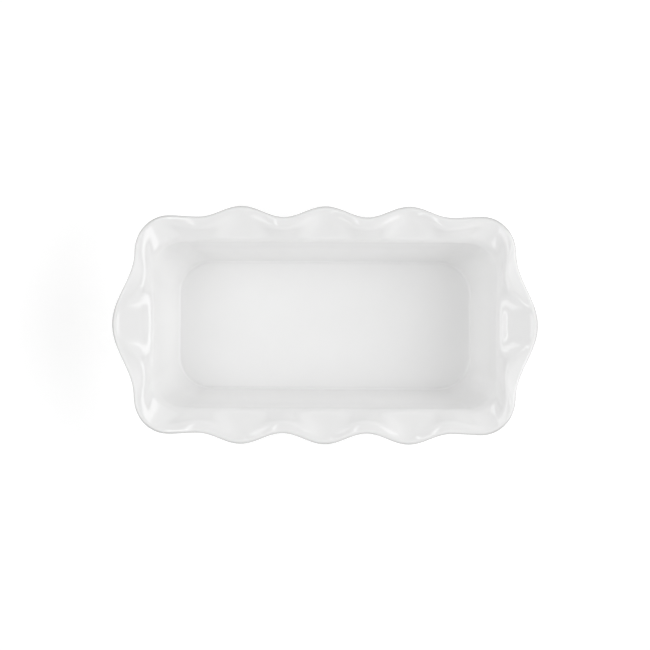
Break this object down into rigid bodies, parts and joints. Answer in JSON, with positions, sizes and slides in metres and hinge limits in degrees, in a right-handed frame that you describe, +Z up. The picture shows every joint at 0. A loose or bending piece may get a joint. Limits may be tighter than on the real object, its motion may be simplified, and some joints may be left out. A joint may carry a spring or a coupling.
{
  "type": "serving dish",
  "caption": "Deep rectangular serving dish with steep walls, a flared ruffled rim, a wide grip at each end and a low bare foot.",
  "frame": {"origin": "centre of the plane that the foot stands on", "axes": "+X along the length from the left grip to the right grip, +Y across from the front side to the back side, +Z up out of the well"},
  "size_m": [0.314, 0.1756, 0.075],
  "materials": {
    "white_glaze": "gloss",
    "bare_clay": "matte"
  },
  "bodies": {
    "root": {"floor_slab": "white_glaze", "foot_ring": "bare_clay", "front_wall": "white_glaze", "back_wall": "white_glaze", "left_end_wall": "white_glaze", "right_end_wall": "white_glaze", "front_left_corner": "white_glaze", "front_right_corner": "white_glaze", "back_left_corner": "white_glaze", "back_right_corner": "white_glaze", "front_ruffle": "white_glaze", "back_ruffle": "white_glaze", "left_grip": "white_glaze", "right_grip": "white_glaze", "front_left_ruffle": "white_glaze", "front_right_ruffle": "white_glaze", "back_left_ruffle": "white_glaze", "back_right_ruffle": "white_glaze"}
  },
  "joints": []
}
